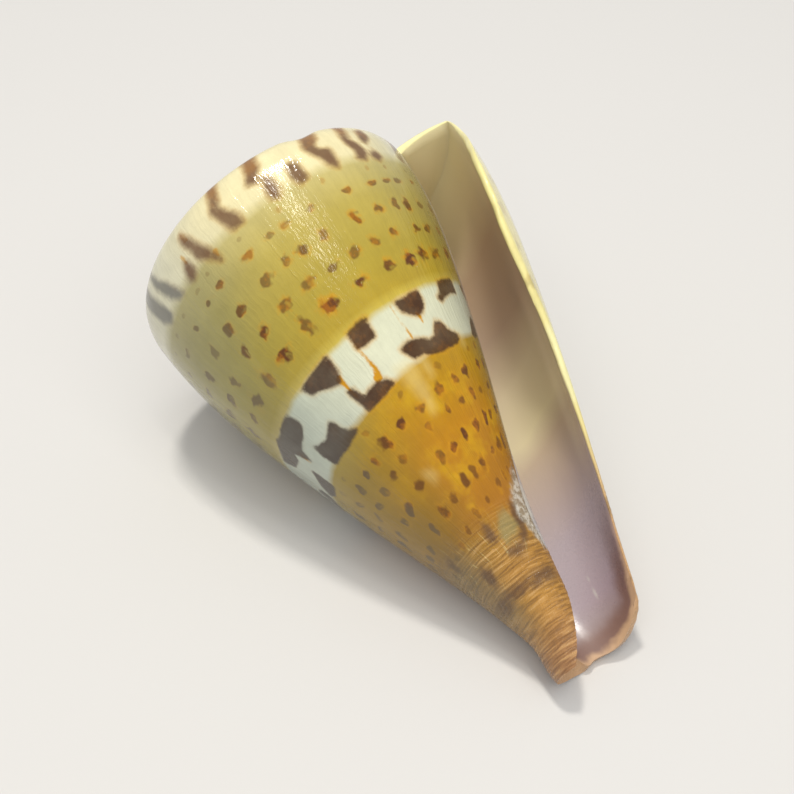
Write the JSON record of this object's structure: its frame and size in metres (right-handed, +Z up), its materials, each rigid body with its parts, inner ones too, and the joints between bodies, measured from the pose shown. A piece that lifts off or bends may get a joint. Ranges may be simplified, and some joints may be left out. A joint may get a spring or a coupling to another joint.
{
  "type": "captain cone shell",
  "caption": "Cone-shaped sea snail shell with a low stepped spire, a long open mouth and a thin lip, lying on its back.",
  "frame": {"origin": "centre of the footprint on the surface the shell lies on", "axes": "+X from the flat-topped spire to the narrow front tip, +Z up from the surface, the mouth opens up and towards +Y"},
  "size_m": [0.0686, 0.045, 0.0418],
  "materials": {
    "shell": "glossy natural shell, yellow-olive with a brown-blotched white band and rows of brown dots"
  },
  "bodies": {
    "root": {"shell": "shell"}
  },
  "joints": []
}
